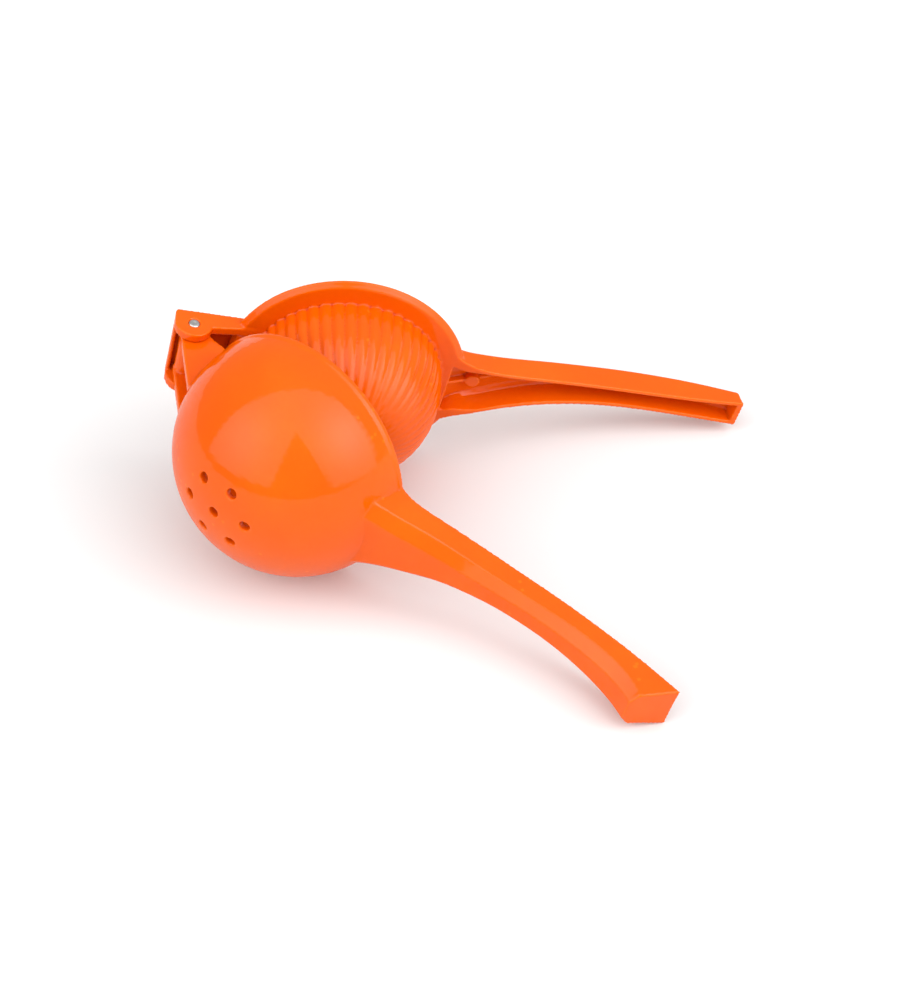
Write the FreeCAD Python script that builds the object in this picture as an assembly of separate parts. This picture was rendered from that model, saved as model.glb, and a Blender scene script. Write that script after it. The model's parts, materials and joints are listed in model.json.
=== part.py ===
import FreeCAD, Part
import math
import os

V = FreeCAD.Vector
os.makedirs("parts", exist_ok=True)

# Hinged lemon squeezer: a strainer bowl on one arm, a fluted press dome on the
# other, both die castings, joined by one steel pin. All lengths in millimetres.
#
# The arms are drawn in the closed frame: the pin is the z axis, x runs from the
# pin to the handle ends, y points from the bowl arm to the press arm, and z = 0
# is the middle plane of both arms. Then the press arm is swung open and the
# whole thing is laid down on the bowl rim, the flange rim and the handle ends.

# ---- driving dimensions ------------------------------------------------------
OPEN = 40.4            # opening of the arms as laid down, degrees
TILT = 13.771          # lean of the pin from upright, degrees
ROLL = -0.790          # sideways lean, degrees

XC = 55.4              # pin to the axis of the bowl
XD = 54.8              # pin to the axis of the flange and the dome
BOWL_R = 42.0          # outer radius of the strainer bowl
BOWL_WALL = 3.0
BOWL_Y = -4.8          # centre of the bowl sphere
RIM_Y = -0.8           # rim plane of the bowl
LIP_R = 42.4           # rounded lip round the rim
LIP_H = 1.9
HOLE_D = 3.7           # drain holes: one at the pole and a ring of six
HOLE_RING = 16.45      # degrees from the pole
HOLE_TURN = 10.87

HUB_R = 3.95           # barrel round the pin
LUG_Z = 10.6           # half height of the lug
LUG_T = 3.4            # each side plate of the lug
LUG_TOP = 2.45
LUG_SLANT = -40.65     # direction of the outer edge of the lug, degrees
LUG_EDGE = 4.2         # its distance from the pin axis

FL_R = 40.7            # press flange at its front face; its side flares back
FL_R2 = 41.95
FL_Y0, FL_Y1 = 0.8, 3.6
DOME_R = 33.0          # valley radius of the dome at its base
DOME_H = 36.6
DOME_N = 2.4           # fullness of the dome (2 is an ellipse)
DOME_WALL = 2.2
FLUTES = 48
FLUTE_RISE = 0.9       # how far a flute stands out of the valleys
CAP_R = 9.0            # smooth cap on the dome

EAR_Z0, EAR_Z1 = 10.9, 14.2
EAR_R = 6.3
EAR_X = -6.5           # outside of the end wall
BACK_Y = 5.75
BACK_T = 1.4
END_T = 1.3
END_Y = 1.0            # front edge of the end wall

PIN_R = 2.0
PIN_PLAY = 0.05        # radial play in the barrel
PIN_HALF = 14.17


# ---- small helpers -----------------------------------------------------------
def prism(points, z0, z1):
    """Straight prism over an outline in x, y between two heights."""
    wire = Part.makePolygon([V(x, y, z0) for x, y in points] + [V(points[0][0], points[0][1], z0)])
    return Part.Face(wire).extrude(V(0, 0, z1 - z0))


def both(make):
    """A piece above the middle plane and its mirror image below."""
    upper = make()
    return upper.fuse(upper.mirror(V(0, 0, 0), V(0, 0, 1)))


def turned(xc, points, arcs=None):
    """Solid of revolution about the axis at xc from an outline in r, y."""
    edges = []
    n = len(points)
    arcs = arcs or {}
    for i in range(n):
        a, b = points[i], points[(i + 1) % n]
        if i in arcs:
            m = arcs[i]
            edges.append(Part.Arc(V(xc + a[0], a[1], 0), V(xc + m[0], m[1], 0), V(xc + b[0], b[1], 0)).toShape())
        else:
            edges.append(Part.makeLine(V(xc + a[0], a[1], 0), V(xc + b[0], b[1], 0)))
    face = Part.Face(Part.Wire(edges))
    return face.revolve(V(xc, 0, 0), V(0, 1, 0), 360)


def skin(rows):
    """Smooth body through cross sections, each a list of (x, y, z) corners."""
    wires = []
    for row in rows:
        wires.append(Part.makePolygon([V(*p) for p in row] + [V(*row[0])]))
    return Part.makeLoft(wires, True, False)


def bar_row(x, ym, yo, hm, hw, b, s):
    """Outside of a channel handle: mating edge ym, outer face yo, bevel b.
    s is +1 where the outer face lies below the mating edge."""
    return [(x, ym, -hm), (x, yo + s * b, -hw), (x, yo, -(hw - b)),
            (x, yo, hw - b), (x, yo + s * b, hw), (x, ym, hm)]


def gut_row(x, ym, yo, hm, hw, b, s, w, floor, over, draw=0.0):
    """Inside of a channel handle, drawn out past its open side; draw narrows its floor."""
    k = 0.55 * w
    f = hw - b - k - draw
    return [(x, ym + s * over, -(hm - w)), (x, ym + s * 1.2, -(hm - w)),
            (x, yo + s * (b + k), -(hw - w)), (x, yo + s * floor, -f),
            (x, yo + s * floor, f), (x, yo + s * (b + k), hw - w),
            (x, ym + s * 1.2, hm - w), (x, ym + s * over, hm - w)]


# ---- bowl arm ----------------------------------------------------------------
# x, mating edge, outer face, half width there, half width at the bevel, bevel
BOWL_BAR = [
    (88.0, -0.80, -25.0, 22.9, 20.2, 4.5),
    (91.0, -0.80, -20.9, 17.8, 17.0, 4.3),
    (94.0, -0.82, -18.3, 15.1, 15.1, 4.2),
    (98.0, -0.90, -16.3, 13.3, 13.7, 4.2),
    (103.0, -0.25, -14.2, 12.1, 12.3, 4.15),
    (110.0, 1.55, -11.4, 10.8, 10.8, 4.1),
    (120.0, 4.45, -7.6, 8.8, 8.6, 3.8),
    (130.0, 6.70, -4.8, 7.4, 7.1, 3.4),
    (140.0, 8.30, -2.6, 6.6, 6.3, 3.2),
    (150.0, 9.25, -1.0, 6.6, 6.15, 3.1),
    (160.0, 9.65, -0.1, 7.0, 6.4, 3.3),
    (170.0, 9.60, 0.1, 7.6, 6.95, 3.5),
    (180.0, 9.25, -0.6, 8.25, 7.5, 3.6),
    (188.0, 8.85, -2.0, 8.65, 7.8, 3.6),
    (193.0, 8.65, -3.5, 8.7, 7.8, 3.5),
    (198.0, 8.50, -6.1, 8.6, 7.5, 3.4),
    (211.0, 8.30, -15.0, 7.9, 6.6, 3.0),
]
BOWL_END = ((207.9, 10.0), (195.9, -5.5))   # the end face passes through these
BOWL_BAR_WALL, BOWL_BAR_FLOOR = 2.1, 2.4


def end_cutter(p, q, back=0.0):
    """Everything past the end face through p and q, moved back along the bar."""
    (x0, y0), (x1, y1) = p, q
    dx, dy = x0 - x1, y0 - y1
    n = math.hypot(dx, dy)
    dx, dy = dx / n, dy / n
    a = (x0 + 30 * dx - back, y0 + 30 * dy)
    b = (x1 - 30 * dx - back, y1 - 30 * dy)
    return prism([a, b, (b[0] + 60, b[1]), (a[0] + 60, a[1])], -40, 40)


def bowl_arm():
    s45 = math.sqrt(0.5)
    ball = turned(XC, [(0, BOWL_Y - BOWL_R), (BOWL_R, BOWL_Y), (BOWL_R, RIM_Y - LIP_H - 0.5),
                   (LIP_R, RIM_Y - LIP_H), (LIP_R, RIM_Y - 0.8), (LIP_R - 0.8, RIM_Y), (0, RIM_Y)],
                  {0: (BOWL_R * s45, BOWL_Y - BOWL_R * s45),
                   4: (LIP_R - 0.8 + 0.8 * s45, RIM_Y - 0.8 + 0.8 * s45)})
    ri = BOWL_R - BOWL_WALL
    inner = turned(XC, [(0, BOWL_Y - ri), (ri, BOWL_Y), (ri, RIM_Y - 0.7), (ri + 0.7, RIM_Y),
                    (ri + 0.7, RIM_Y + 60), (0, RIM_Y + 60)],
                   {0: (ri * s45, BOWL_Y - ri * s45),
                    2: (ri + 0.7 - 0.7 * s45, RIM_Y - 0.7 + 0.7 * s45)})
    core = turned(XC, [(0, BOWL_Y - BOWL_R + 0.4), (BOWL_R - 0.4, BOWL_Y), (BOWL_R - 0.4, RIM_Y + 40), (0, RIM_Y + 40)],
                  {0: ((BOWL_R - 0.4) * s45, BOWL_Y - (BOWL_R - 0.4) * s45)})

    # lug: two side plates, the barrel and a web on the mating side
    a = math.radians(LUG_SLANT)
    d = (math.cos(a), math.sin(a))
    n = (math.sin(a), -math.cos(a))             # outward normal of the slanted edge
    t0 = (LUG_EDGE * n[0] - 0.8 * d[0], LUG_EDGE * n[1] - 0.8 * d[1])
    far = (t0[0] + 34 * d[0], t0[1] + 34 * d[1])
    outline = [t0, far, (30.0, -12.0), (22.0, RIM_Y), (14.6, RIM_Y), (12.9, LUG_TOP),
               (7.5, LUG_TOP), (0.35 * HUB_R, 0.936 * HUB_R), (0.0, 0.0)]
    plates = both(lambda: prism(outline, LUG_Z - LUG_T, LUG_Z))
    hub = Part.makeCylinder(HUB_R, 2 * LUG_Z, V(0, 0, -LUG_Z), V(0, 0, 1))
    web = prism([(0.0, 0.6), (16.5, -3.6), (22.0, -3.6), (22.0, RIM_Y), (14.6, RIM_Y), (12.9, LUG_TOP),
                 (7.5, LUG_TOP), (0.35 * HUB_R, 0.936 * HUB_R)], -LUG_Z, LUG_Z)

    rows = [bar_row(*r, 1) for r in BOWL_BAR]
    bar = skin(rows).cut(end_cutter(*BOWL_END))
    gut = skin([gut_row(*r, 1, BOWL_BAR_WALL, BOWL_BAR_FLOOR, 12.0) for r in BOWL_BAR])
    gut = gut.cut(end_cutter(*BOWL_END, back=2.6)).cut(core)

    body = ball.fuse([plates, hub, web, bar])
    body = body.cut(inner).cut(gut)
    body = body.cut(Part.makeCylinder(PIN_R + PIN_PLAY, 2 * LUG_Z + 2, V(0, 0, -LUG_Z - 1), V(0, 0, 1)))
    c = V(XC, BOWL_Y, 0)
    ways = [V(0, -1, 0)]
    pa = math.radians(HOLE_RING)
    for k in range(6):
        az = math.radians(HOLE_TURN + 60 * k)
        ways.append(V(math.sin(pa) * math.cos(az), -math.cos(pa), math.sin(pa) * math.sin(az)))
    drills = [Part.makeCylinder(HOLE_D / 2, 12, c + w * (BOWL_R - 8), w) for w in ways]
    for w in drills:
        body = body.cut(w)
    return body.removeSplitter()


# ---- press arm ---------------------------------------------------------------
PRESS_BAR = [
    (86.0, 0.80, 5.0, 25.0, 24.6, 1.4),
    (89.0, 0.80, 6.4, 19.3, 18.9, 1.9),
    (92.0, 0.78, 8.1, 16.0, 15.7, 2.2),
    (96.0, 0.80, 9.9, 13.5, 13.2, 2.4),
    (102.0, 1.15, 11.9, 11.3, 11.0, 2.4),
    (110.0, 2.70, 14.0, 9.2, 9.0, 2.3),
    (120.0, 4.90, 16.5, 7.4, 7.2, 2.2),
    (130.0, 6.70, 18.4, 6.2, 6.0, 2.0),
    (140.0, 8.10, 19.8, 5.35, 5.15, 1.9),
    (150.0, 9.00, 20.8, 4.85, 4.6, 1.8),
    (160.0, 9.50, 21.3, 4.6, 4.35, 1.8),
    (170.0, 9.70, 21.2, 4.6, 4.35, 1.8),
    (180.0, 9.80, 20.6, 4.8, 4.55, 1.8),
    (190.0, 9.95, 19.4, 5.15, 4.9, 1.8),
    (198.0, 10.15, 18.1, 5.5, 5.25, 1.8),
    (208.0, 10.40, 15.9, 5.9, 5.65, 1.8),
]
PRESS_END = ((201.9, 9.0), (199.6, 19.0))
PRESS_BAR_WALL, PRESS_BAR_FLOOR = 1.5, 2.0
TROUGH_X = 91.3        # root wall of the channel
RIB_T = 1.5            # rib along the middle of the channel's root
RIB = ((90.0, 2.9), (116.0, 13.7))          # its top edge, sloping down to the floor
BOSS_X, BOSS_Y, BOSS_R = 100.9, 6.1, 2.7    # round boss on the rib


def dome_r(s):
    """Radius of the valleys at the fraction s of the dome height."""
    return DOME_R * (1.0 - s ** DOME_N) ** (1.0 / DOME_N)


def fluted_wire(y, r, rise):
    edges = []
    for k in range(FLUTES):
        a0 = 2 * math.pi * (k - 0.5) / FLUTES
        a1 = 2 * math.pi * (k + 0.5) / FLUTES
        am = 0.5 * (a0 + a1)
        p = [V(XD + q * math.cos(a), y, q * math.sin(a)) for a, q in ((a0, r), (am, r + rise), (a1, r))]
        edges.append(Part.Arc(*p).toShape())
    return Part.Wire(edges)


def press_arm():
    c7 = math.sqrt(0.5)
    flange = turned(XD, [(0, FL_Y0), (FL_R - 0.6, FL_Y0), (FL_R, FL_Y0 + 0.6), (FL_R2, FL_Y1 - 1.0),
                     (FL_R2 - 1.0, FL_Y1), (0, FL_Y1)],
                    {1: (FL_R - 0.6 + 0.6 * c7, FL_Y0 + 0.6 - 0.6 * c7),
                     3: (FL_R2 - 1.0 + c7, FL_Y1 - 1.0 + c7)})
    # fluted dome, narrowing to the smooth cap
    s_cap = (1.0 - (CAP_R / DOME_R) ** DOME_N) ** (1.0 / DOME_N)
    wires = [fluted_wire(FL_Y0 + 1.2, DOME_R, FLUTE_RISE)]
    steps = [0.0, 0.16, 0.32, 0.47, 0.60, 0.71, 0.80, 0.87, 0.925, s_cap]
    for s in steps:
        r = dome_r(s)
        fade = min(1.0, (r - CAP_R) / 9.0)
        wires.append(fluted_wire(FL_Y0 - DOME_H * s, r, 0.03 + FLUTE_RISE * (0.45 + 0.55 * r / DOME_R) * fade))
    dome = Part.makeLoft(wires, True, False)
    y_cap = FL_Y0 - DOME_H * s_cap
    rise = DOME_H * (1.0 - s_cap)
    rc = CAP_R - 0.15
    rad = (rc * rc + rise * rise) / (2 * rise)
    top = y_cap - rise
    mid_r = rad * math.sin(0.5 * math.asin(rc / rad))
    mid_y = top + rad - rad * math.cos(0.5 * math.asin(rc / rad))
    cap = turned(XD, [(0, top), (rc, y_cap), (rc, y_cap + 1.5), (0, y_cap + 1.5)], {0: (mid_r, mid_y)})
    hollow_pts = []
    for i in range(0, 25):
        s = math.sin(0.5 * math.pi * i / 24)
        r = (DOME_R - DOME_WALL) * (max(0.0, 1.0 - s ** DOME_N)) ** (1.0 / DOME_N)
        hollow_pts.append(V(XD + r, FL_Y0 - (DOME_H - DOME_WALL) * s, 0))
    curve = Part.BSplineCurve()
    curve.interpolate(hollow_pts)
    e = [curve.toShape(),
         Part.makeLine(hollow_pts[-1], V(XD, FL_Y1 + 20, 0)),
         Part.makeLine(V(XD, FL_Y1 + 20, 0), V(XD + DOME_R - DOME_WALL, FL_Y1 + 20, 0)),
         Part.makeLine(V(XD + DOME_R - DOME_WALL, FL_Y1 + 20, 0), hollow_pts[0])]
    hollow = Part.Face(Part.Wire(e)).revolve(V(XD, 0, 0), V(0, 1, 0), 360)

    # clevis: two ears, the back wall, the end wall, the root block
    arc_end = math.atan2(-1.2, math.sqrt(EAR_R ** 2 - 1.2 ** 2))
    front = math.atan2(-1.6, -math.sqrt(EAR_R ** 2 - 1.6 ** 2))
    pts = []
    for i in range(0, 25):
        a = front + (arc_end - front) * i / 24
        pts.append((EAR_R * math.cos(a), EAR_R * math.sin(a)))
    z0, z1 = EAR_Z0, EAR_Z1

    def ear():
        a_mid = 0.5 * (front + arc_end)
        p0, p1 = pts[0], pts[-1]
        q = 0.9
        ed = [Part.Arc(V(p0[0], p0[1], z0), V(EAR_R * math.cos(a_mid), EAR_R * math.sin(a_mid), z0), V(p1[0], p1[1], z0)).toShape()]
        corners = [p1, (16.6, 0.45), (24.0, 0.8), (24.0, 3.9), (17.0, 6.1), (EAR_X + q, BACK_Y)]
        for u, w in zip(corners[:-1], corners[1:]):
            ed.append(Part.makeLine(V(u[0], u[1], z0), V(w[0], w[1], z0)))
        h = q * math.sqrt(0.5)
        ed.append(Part.Arc(V(EAR_X + q, BACK_Y, z0), V(EAR_X + q - h, BACK_Y - q + h, z0), V(EAR_X, BACK_Y - q, z0)).toShape())
        ed.append(Part.makeLine(V(EAR_X, BACK_Y - q, z0), V(EAR_X, p0[1] + 0.6, z0)))
        ed.append(Part.makeLine(V(EAR_X, p0[1] + 0.6, z0), V(p0[0], p0[1], z0)))
        return Part.Face(Part.Wire(ed)).extrude(V(0, 0, z1 - z0))

    ears = both(ear)
    back = prism([(EAR_X + 0.9, BACK_Y), (EAR_X + 0.3, BACK_Y - 0.3), (EAR_X, BACK_Y - 0.9), (EAR_X, END_Y),
                  (EAR_X + END_T, END_Y), (EAR_X + END_T, BACK_Y - BACK_T), (13.2, BACK_Y - BACK_T),
                  (15.0, 3.2), (15.0, 1.0), (24.0, 1.0), (24.0, 3.9), (17.0, 6.1)], -EAR_Z0 - 0.4, EAR_Z0 + 0.4)

    rows = [bar_row(*r, -1) for r in PRESS_BAR]
    end = end_cutter(PRESS_END[0], PRESS_END[1])
    bar = skin(rows).cut(end)
    guts = []
    for r in PRESS_BAR[1:]:
        x, ym, yo, hm, hw, b = r
        w = PRESS_BAR_WALL + max(0.0, (104.0 - x) * 0.30)
        draw = 1.6 * max(0.0, min(1.0, (x - 98.0) / 12.0, (140.0 - x) / 20.0))
        guts.append(gut_row(x, ym, yo, hm, hw, b, -1, w, PRESS_BAR_FLOOR, 12.0, draw))
    gut = skin(guts).cut(end_cutter(PRESS_END[0], PRESS_END[1], back=2.0))
    gut = gut.cut(Part.makeBox(40, 80, 80, V(TROUGH_X - 40, -40, -40)))
    # rib and boss in the root of the channel
    rib = prism([RIB[0], RIB[1], (RIB[1][0], 16.5), (RIB[0][0], 9.0)], -RIB_T / 2, RIB_T / 2)
    boss = Part.makeCylinder(BOSS_R, 12, V(BOSS_X, BOSS_Y, 0), V(0, 1, 0))
    keep = skin([bar_row(x, ym, yo - 0.6, hm - 0.6, hw - 0.6, b, -1) for x, ym, yo, hm, hw, b in PRESS_BAR])
    ribs = rib.fuse(boss).common(keep)

    body = flange.fuse([dome, cap, ears, back, bar])
    body = body.cut(gut).fuse(ribs).cut(hollow)
    body = body.cut(Part.makeCylinder(PIN_R, 2 * EAR_Z1 + 4, V(0, 0, -EAR_Z1 - 2), V(0, 0, 1)))
    return body.removeSplitter()


# ---- hinge pin ---------------------------------------------------------------
def hinge_pin():
    pin = Part.makeCylinder(PIN_R, 2 * PIN_HALF, V(0, 0, -PIN_HALF), V(0, 0, 1))
    return pin.makeChamfer(0.3, [e for e in pin.Edges if e.Closed and len(e.Vertexes) == 1])


# ---- lay down and export -----------------------------------------------------
def main():
    bowl, press, pin = bowl_arm(), press_arm(), hinge_pin()
    for s in (press, pin):
        s.rotate(V(0, 0, 0), V(0, 0, 1), OPEN)
    t, h = math.radians(TILT), math.radians(OPEN / 2)
    m = V(math.cos(h), math.sin(h), 0)
    up = V(0, 0, 1) * math.cos(t) - m * math.sin(t)
    fwd = m * math.cos(t) + V(0, 0, 1) * math.sin(t)
    left = up.cross(fwd)
    mat = FreeCAD.Matrix(fwd.x, fwd.y, fwd.z, 0, left.x, left.y, left.z, 0, up.x, up.y, up.z, 0, 0, 0, 0, 1)
    place = FreeCAD.Placement(mat)
    roll = FreeCAD.Rotation(V(1, 0, 0), ROLL)
    place = FreeCAD.Placement(V(0, 0, 0), roll.multiply(place.Rotation))
    shapes = {"bowl_arm": bowl, "press_arm": press, "hinge_pin": pin}
    box = None
    for s in shapes.values():
        s.Placement = place.multiply(s.Placement)
        b = s.optimalBoundingBox(False, False)
        if box is None:
            box = b
        else:
            box.add(b)
    shift = V(-(box.XMin + box.XMax) / 2, -(box.YMin + box.YMax) / 2, -box.ZMin)
    for name, s in shapes.items():
        s.translate(shift)
        print(name, "valid", s.isValid(), "solids", len(s.Solids), "volume", round(s.Volume, 1))
        s.exportStep("parts/%s.step" % name)
    print("box", box.XLength, box.YLength, box.ZLength)
    o = shift
    z = place.Rotation.multVec(V(0, 0, 1))
    print("pin at", [round(v / 1000, 8) for v in (o.x, o.y, o.z)], "axis", [round(v, 8) for v in (z.x, z.y, z.z)])


main()
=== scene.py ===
import json
import math

import bmesh
import bpy
import numpy as np
from mathutils import Matrix, Vector


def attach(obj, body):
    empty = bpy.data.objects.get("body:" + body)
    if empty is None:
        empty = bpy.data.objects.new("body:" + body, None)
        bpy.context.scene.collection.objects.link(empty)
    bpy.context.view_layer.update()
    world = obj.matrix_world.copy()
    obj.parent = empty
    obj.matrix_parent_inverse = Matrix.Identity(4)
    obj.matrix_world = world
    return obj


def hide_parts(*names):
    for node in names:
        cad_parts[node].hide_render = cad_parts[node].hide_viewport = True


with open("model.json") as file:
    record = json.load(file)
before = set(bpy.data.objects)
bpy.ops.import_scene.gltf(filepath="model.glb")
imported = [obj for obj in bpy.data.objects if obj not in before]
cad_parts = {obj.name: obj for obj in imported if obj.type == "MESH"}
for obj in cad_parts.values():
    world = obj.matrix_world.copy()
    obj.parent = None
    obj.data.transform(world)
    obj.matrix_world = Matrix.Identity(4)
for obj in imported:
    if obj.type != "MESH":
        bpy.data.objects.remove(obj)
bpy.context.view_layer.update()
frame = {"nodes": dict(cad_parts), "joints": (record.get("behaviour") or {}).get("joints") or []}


scene = bpy.context.scene
OPEN = math.radians(40.4)

# ---- the squeezer's own axes, from its hinge -----------------------------------
joint = frame["joints"][0]
P0 = Vector(joint["pos_m"])
ZH = Vector(joint["axis"]).normalized()
MID = (Vector((1, 0, 0)) - ZH * ZH.x).normalized()
XH = MID * math.cos(OPEN / 2) - ZH.cross(MID) * math.sin(OPEN / 2)
YH = ZH.cross(XH)


def bowl_dir(x, y, z):
    return XH * x + YH * y + ZH * z


def bowl_pt(x, y, z):
    """A point given in the bowl arm's own millimetres."""
    return P0 + bowl_dir(x, y, z) * 0.001


def press_dir(x, y, z):
    c, s = math.cos(OPEN), math.sin(OPEN)
    return bowl_dir(c * x - s * y, s * x + c * y, z)


def press_pt(x, y, z):
    return P0 + press_dir(x, y, z) * 0.001


# ---- meshes --------------------------------------------------------------------
def new_object(name, mesh):
    obj = bpy.data.objects.new(name, mesh)
    scene.collection.objects.link(obj)
    return obj


def relax(mesh, rounds, keep, extra):
    """Evens out a dense mesh: rounds of shrink and regrow, then a few of shrink only, which rounds the edges."""
    n = len(mesh.vertices)
    co = np.zeros(n * 3)
    mesh.vertices.foreach_get("co", co)
    co = co.reshape(-1, 3)
    ed = np.zeros(len(mesh.edges) * 2, np.int64)
    mesh.edges.foreach_get("vertices", ed)
    ed = ed.reshape(-1, 2)
    a = np.concatenate([ed[:, 0], ed[:, 1]])
    b = np.concatenate([ed[:, 1], ed[:, 0]])
    deg = np.maximum(np.bincount(a, minlength=n), 1)[:, None]

    def step(p, w):
        m = np.stack([np.bincount(a, weights=p[b, k], minlength=n) for k in range(3)], 1) / deg
        return p + w * (m - p)

    for _ in range(extra):
        co = step(co, 0.5)
    for _ in range(rounds):
        co = step(co, 0.5)
        co = step(co, -0.5 / keep)
    mesh.vertices.foreach_set("co", co.ravel())
    mesh.update()


def casting(node, name, voxel, extra, rounds=14):
    """The enamelled surface of a die casting: the solid wrapped in one even skin, its edges rounded by the coat."""
    me = frame["nodes"][node].data.copy()
    me.materials.clear()
    bm = bmesh.new()
    bm.from_mesh(me)
    bmesh.ops.remove_doubles(bm, verts=bm.verts, dist=2e-6)
    bm.to_mesh(me)
    bm.free()
    tmp = new_object("wrap_tmp", me)
    mod = tmp.modifiers.new("wrap", "REMESH")
    mod.mode = "VOXEL"
    mod.voxel_size = voxel
    mod.adaptivity = 0.0
    mod.use_smooth_shade = True
    bpy.context.view_layer.update()
    dg = bpy.context.evaluated_depsgraph_get()
    out = bpy.data.meshes.new_from_object(tmp.evaluated_get(dg))
    bpy.data.objects.remove(tmp)
    out.name = name
    relax(out, rounds, 0.95, extra)
    out.shade_smooth()
    return new_object(name, out)


def lathe(name, centre, axis, profile, steps=96):
    """Closed solid of revolution: profile is (distance along axis, radius) in mm, from end to end."""
    axis = axis.normalized()
    u = axis.orthogonal().normalized()
    v = axis.cross(u)
    bm = bmesh.new()
    rings = []
    for t, r in profile:
        c = centre + axis * (t * 0.001)
        if r <= 1e-6:
            rings.append([bm.verts.new(c)])
        else:
            rings.append([bm.verts.new(c + (u * math.cos(a) + v * math.sin(a)) * (r * 0.001))
                          for a in (2 * math.pi * k / steps for k in range(steps))])
    for p, q in zip(rings[:-1], rings[1:]):
        for k in range(steps):
            l = (k + 1) % steps
            if len(p) == 1:
                bm.faces.new((p[0], q[l], q[k]))
            elif len(q) == 1:
                bm.faces.new((p[k], p[l], q[0]))
            else:
                bm.faces.new((p[k], p[l], q[l], q[k]))
    bmesh.ops.recalc_face_normals(bm, faces=bm.faces)
    me = bpy.data.meshes.new(name)
    bm.to_mesh(me)
    bm.free()
    me.shade_smooth()
    return new_object(name, me)


# ---- materials -----------------------------------------------------------------
class Nodes:
    def __init__(self, name):
        self.mat = bpy.data.materials.new(name)
        self.mat.use_nodes = True
        self.t = self.mat.node_tree
        self.t.nodes.clear()
        self.out = self.t.nodes.new("ShaderNodeOutputMaterial")
        self.bsdf = self.t.nodes.new("ShaderNodeBsdfPrincipled")
        self.t.links.new(self.bsdf.outputs[0], self.out.inputs[0])
        self.tc = self.t.nodes.new("ShaderNodeTexCoord")

    def noise(self, scale, detail=3.0, rough=0.5, distortion=0.0):
        n = self.t.nodes.new("ShaderNodeTexNoise")
        n.inputs["Scale"].default_value = scale
        n.inputs["Detail"].default_value = detail
        n.inputs["Roughness"].default_value = rough
        n.inputs["Distortion"].default_value = distortion
        self.t.links.new(self.tc.outputs["Object"], n.inputs["Vector"])
        return n.outputs["Fac"]

    def ramp(self, fac, stops):
        r = self.t.nodes.new("ShaderNodeValToRGB")
        el = r.color_ramp.elements
        while len(el) > 1:
            el.remove(el[-1])
        el[0].position, el[0].color = stops[0][0], stops[0][1]
        for pos, col in stops[1:]:
            e = el.new(pos)
            e.color = col
        self.t.links.new(fac, r.inputs["Fac"])
        return r.outputs["Color"]

    def remap(self, fac, a, b, lo, hi):
        m = self.t.nodes.new("ShaderNodeMapRange")
        m.inputs["From Min"].default_value = a
        m.inputs["From Max"].default_value = b
        m.inputs["To Min"].default_value = lo
        m.inputs["To Max"].default_value = hi
        self.t.links.new(fac, m.inputs["Value"])
        return m.outputs["Result"]

    def mix(self, fac, a, b, mode="MIX"):
        m = self.t.nodes.new("ShaderNodeMix")
        m.data_type = "RGBA"
        m.blend_type = mode
        if isinstance(fac, float):
            m.inputs["Factor"].default_value = fac
        else:
            self.t.links.new(fac, m.inputs["Factor"])
        for sock, val in ((m.inputs[6], a), (m.inputs[7], b)):
            if isinstance(val, tuple):
                sock.default_value = val
            else:
                self.t.links.new(val, sock)
        return m.outputs[2]

    def bump(self, fac, strength, distance, normal=None):
        b = self.t.nodes.new("ShaderNodeBump")
        b.inputs["Strength"].default_value = strength
        b.inputs["Distance"].default_value = distance
        self.t.links.new(fac, b.inputs["Height"])
        if normal is not None:
            self.t.links.new(normal, b.inputs["Normal"])
        return b.outputs["Normal"]

    def point(self):
        g = self.t.nodes.new("ShaderNodeNewGeometry")
        return g.outputs["Pointiness"]

    def to(self, value, socket):
        self.t.links.new(value, self.bsdf.inputs[socket])


def lin(r, g, b):
    def f(c):
        c /= 255.0
        return c / 12.92 if c <= 0.04045 else ((c + 0.055) / 1.055) ** 2.4
    return (f(r), f(g), f(b), 1.0)


def enamel():
    m = Nodes("orange_enamel")
    # the coat runs a little thicker and redder in hollows, with painted shade there too, and thinner and paler on
    # edges, with a painted highlight there too
    cloud = m.noise(34.0, 3.0, 0.55)
    base = m.ramp(cloud, [(0.30, lin(223, 84, 2)), (0.52, lin(226, 88, 2)), (0.72, lin(229, 93, 3))])
    fine = m.noise(620.0, 2.0, 0.6)
    base = m.mix(m.remap(fine, 0.35, 0.65, 0.0, 0.10), base, lin(206, 70, 2))
    # edges paler: partly thinner enamel on them, partly a painted highlight
    thin_coat_and_highlight = m.remap(m.point(), 0.515, 0.56, 0.0, 0.55)
    base = m.mix(thin_coat_and_highlight, base, lin(240, 110, 10))
    # hollows darker and redder: partly enamel pooling there, partly painted shade
    pooled_coat_and_shade = m.remap(m.point(), 0.488, 0.44, 0.0, 0.85)
    base = m.mix(pooled_coat_and_shade, base, lin(166, 38, 2))
    m.to(base, "Base Color")
    m.to(m.remap(m.noise(90.0, 4.0, 0.6), 0.3, 0.7, 0.24, 0.36), "Roughness")
    peel = m.noise(300.0, 2.0, 0.5)
    wave = m.noise(70.0, 2.0, 0.5)
    n = m.bump(wave, 0.10, 0.0006)
    n = m.bump(peel, 0.06, 0.0002, n)
    m.to(n, "Normal")
    m.t.links.new(n, m.bsdf.inputs["Coat Normal"])
    m.bsdf.inputs["Specular IOR Level"].default_value = 0.0
    m.bsdf.inputs["Coat Weight"].default_value = 0.5
    m.bsdf.inputs["Coat Roughness"].default_value = 0.07
    m.bsdf.inputs["Coat IOR"].default_value = 1.5
    m.bsdf.inputs["IOR"].default_value = 1.5
    return m.mat


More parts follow.
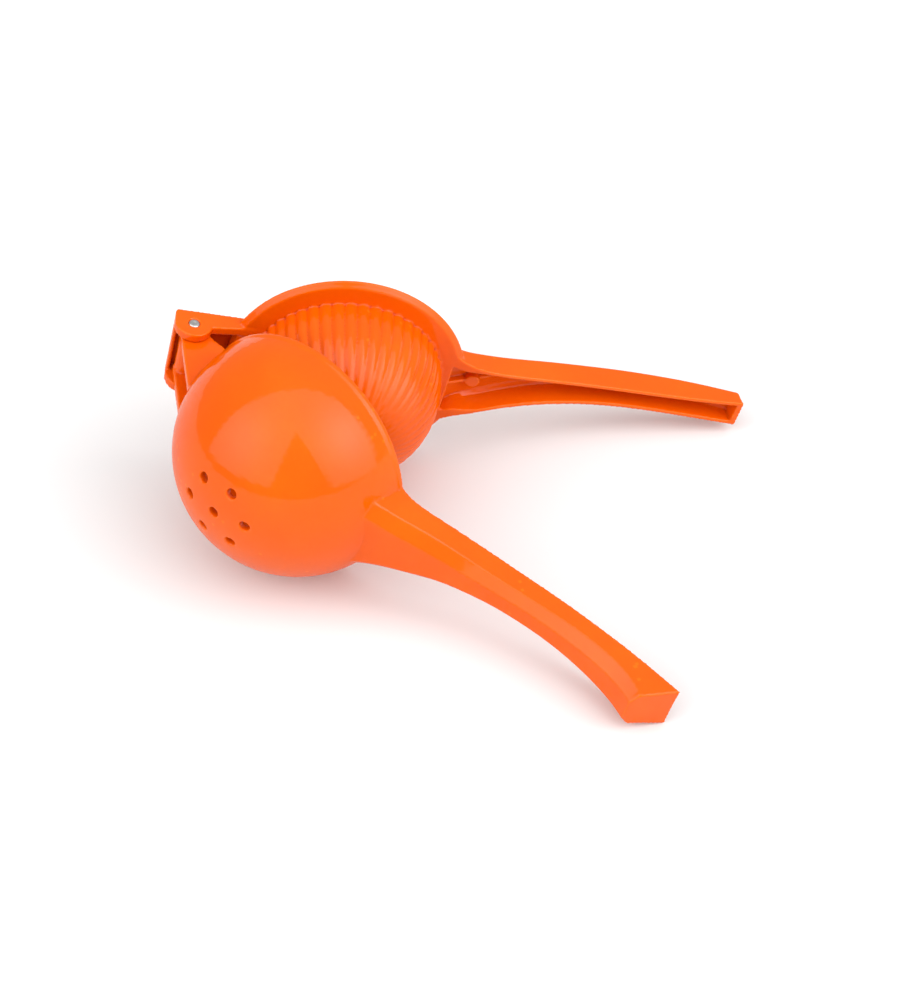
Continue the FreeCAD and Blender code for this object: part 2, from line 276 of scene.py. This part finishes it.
def steel():
    m = Nodes("pin_steel")
    tone = m.noise(900.0, 3.0, 0.6)
    m.to(m.ramp(tone, [(0.3, (0.50, 0.49, 0.47, 1)), (0.7, (0.68, 0.68, 0.68, 1))]), "Base Color")
    m.to(m.remap(m.noise(2600.0, 2.0, 0.6), 0.3, 0.7, 0.22, 0.40), "Roughness")
    m.to(m.bump(m.noise(1900.0, 3.0, 0.6), 0.15, 0.00008), "Normal")
    m.bsdf.inputs["Metallic"].default_value = 1.0
    return m.mat


def paper():
    m = Nodes("studio_floor")
    m.to(m.ramp(m.noise(3.0, 2.0), [(0.3, (0.74, 0.74, 0.74, 1)), (0.7, (0.76, 0.76, 0.76, 1))]), "Base Color")
    m.bsdf.inputs["Roughness"].default_value = 0.9
    m.bsdf.inputs["Specular IOR Level"].default_value = 0.1
    return m.mat


ENAMEL, STEEL, PAPER = enamel(), steel(), paper()
for node in frame["nodes"].values():
    node.data.materials.clear()
    node.data.materials.append(STEEL if node.name == "hinge_pin" else ENAMEL)

# ---- the two castings ----------------------------------------------------------
VOXEL = 0.00042
for node, body in (("bowl_arm", "bowl_arm"), ("press_arm", "press_arm")):
    piece = casting(node, node + "_enamel", VOXEL, 1, 8)
    piece.data.materials.append(ENAMEL)
    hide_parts(node)
    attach(piece, body)

# ---- the pin: rounded ends that sit just inside a countersunk ring -------------
H = 14.10
pin = lathe("hinge_pin_turned", P0, ZH, [
    (-H + 0.12, 0.0), (-H + 0.05, 0.55), (-H, 0.75), (-H, 1.45), (-H + 0.10, 1.72), (-H + 0.35, 1.90), (-H + 0.7, 1.95),
    (H - 0.7, 1.95), (H - 0.35, 1.90), (H - 0.10, 1.72), (H, 1.45), (H, 0.75), (H - 0.05, 0.55), (H - 0.12, 0.0)])
pin.data.materials.append(STEEL)
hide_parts("hinge_pin")
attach(pin, "press_arm")

# ---- floor, light, camera ------------------------------------------------------
bm = bmesh.new()
bmesh.ops.create_grid(bm, x_segments=1, y_segments=1, size=6.0)
fm = bpy.data.meshes.new("floor")
bm.to_mesh(fm)
bm.free()
floor = new_object("floor", fm)
floor.data.materials.append(PAPER)

# A soft studio: two large diffusers either side of the viewing side with a gap between
# them, a weaker one overhead, and a dim strip low down behind them.
world = bpy.data.worlds.new("studio")
scene.world = world
world.use_nodes = True
WT = world.node_tree
BG = WT.nodes["Background"]
RAY = WT.nodes.new("ShaderNodeTexCoord").outputs["Generated"]


def way(az, el):
    az, el = math.radians(az), math.radians(el)
    return Vector((math.cos(el) * math.cos(az), math.cos(el) * math.sin(az), math.sin(el)))


def wmath(op, *args):
    n = WT.nodes.new("ShaderNodeMath")
    n.operation = op
    for i, v in enumerate(args):
        if isinstance(v, (int, float)):
            n.inputs[i].default_value = v
        else:
            WT.links.new(v, n.inputs[i])
    return n.outputs[0]


def along(v):
    n = WT.nodes.new("ShaderNodeVectorMath")
    n.operation = "DOT_PRODUCT"
    WT.links.new(RAY, n.inputs[0])
    n.inputs[1].default_value = v
    return n.outputs["Value"]


def side(p, q, towards, soft):
    """1 on the side of the plane through two directions where a third one lies, with a soft edge."""
    n = p.cross(q).normalized()
    if n.dot(towards) < 0:
        n = -n
    m = WT.nodes.new("ShaderNodeMapRange")
    m.interpolation_type = "SMOOTHSTEP"
    m.inputs["From Min"].default_value = -soft
    m.inputs["From Max"].default_value = soft
    WT.links.new(along(n), m.inputs["Value"])
    return m.outputs["Result"]


def glow(v, width, amount):
    t = wmath("DIVIDE", wmath("SUBTRACT", along(v), 1.0), width)
    return wmath("MULTIPLY", wmath("EXPONENT", t), amount)


LEFT, RIGHT, APEX = way(-132, 39), way(-4, 38), way(-66, 61)
front = wmath("MULTIPLY", side(way(-162, 4), way(154, 60), LEFT, 0.03), side(way(23, -2), way(38, 52), LEFT, 0.03))
front = wmath("MULTIPLY", front, side(way(154, 60), way(48, 65), APEX, 0.03))
front = wmath("MULTIPLY", front, side(way(-162, 4), way(-40, 5), APEX, 0.03))
gap = wmath("MULTIPLY", side(way(-93, 7), APEX, RIGHT, 0.025), side(way(-39, 6), APEX, LEFT, 0.025))
gap = wmath("MULTIPLY", gap, side(way(-100, 61), way(-30, 61), way(-66, 20), 0.02))
boxes = wmath("MULTIPLY", front, wmath("SUBTRACT", 1.0, gap))
shine = wmath("ADD", wmath("ADD", glow(LEFT, 0.10, 1.3), glow(RIGHT, 0.09, 2.5)), 0.95)
level = wmath("ADD", wmath("MULTIPLY", boxes, shine), wmath("ADD", glow(way(60, 60), 0.5, 0.30), 0.26))
WT.links.new(level, BG.inputs["Strength"])
BG.inputs["Color"].default_value = (1.0, 1.0, 1.0, 1)

CAM = np.array([[0.75713954, 0.61002636, 0.23368261],
                [0.58782612, -0.48018231, -0.65106483],
                [-0.28495645, 0.63031166, -0.72215444]])
right, down, ahead = (bowl_dir(*row) for row in CAM)
eye = bowl_pt(311.378, -441.083, 528.112)
cam_data = bpy.data.cameras.new("camera")
cam = bpy.data.objects.new("camera", cam_data)
scene.collection.objects.link(cam)
cam.matrix_world = Matrix((
    (right.x, -down.x, -ahead.x, eye.x),
    (right.y, -down.y, -ahead.y, eye.y),
    (right.z, -down.z, -ahead.z, eye.z),
    (0, 0, 0, 1)))
cam_data.sensor_fit = "HORIZONTAL"
cam_data.sensor_width = 36.0
cam_data.lens = 2172.33 * 36.0 / 900.0
cam_data.clip_end = 50
scene.camera = cam


scene.view_settings.view_transform = "Standard"
scene.view_settings.look = "None"
scene.view_settings.exposure = 0.35
